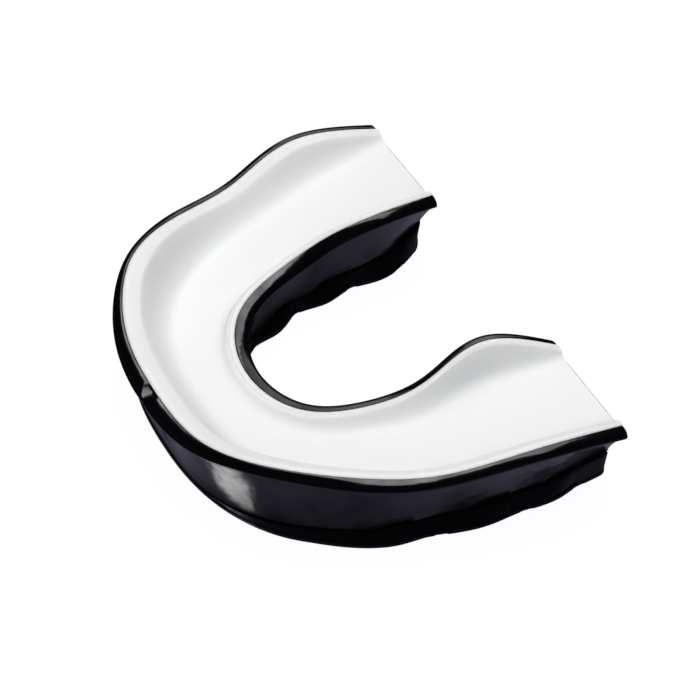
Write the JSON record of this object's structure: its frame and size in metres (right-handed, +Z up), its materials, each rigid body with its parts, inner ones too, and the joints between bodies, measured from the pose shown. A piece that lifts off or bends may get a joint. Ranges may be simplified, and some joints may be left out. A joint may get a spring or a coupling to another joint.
{
  "type": "mouthguard",
  "caption": "Arch-shaped mouthguard with a glossy shell, a soft tooth channel inside a rolled rim, and a lobed bite sole.",
  "frame": {"origin": "centre of the footprint, at the flat bottom of the bite sole", "axes": "+Z up towards the upper teeth, -Y towards the front of the mouth, +X across the mouth"},
  "size_m": [0.064, 0.0468, 0.0125],
  "materials": {
    "shell_black": "gloss",
    "liner_white": "satin",
    "sole_black": "satin"
  },
  "bodies": {
    "root": {"outer_shell": "shell_black", "inner_liner": "liner_white", "bite_sole": "sole_black"}
  },
  "joints": []
}
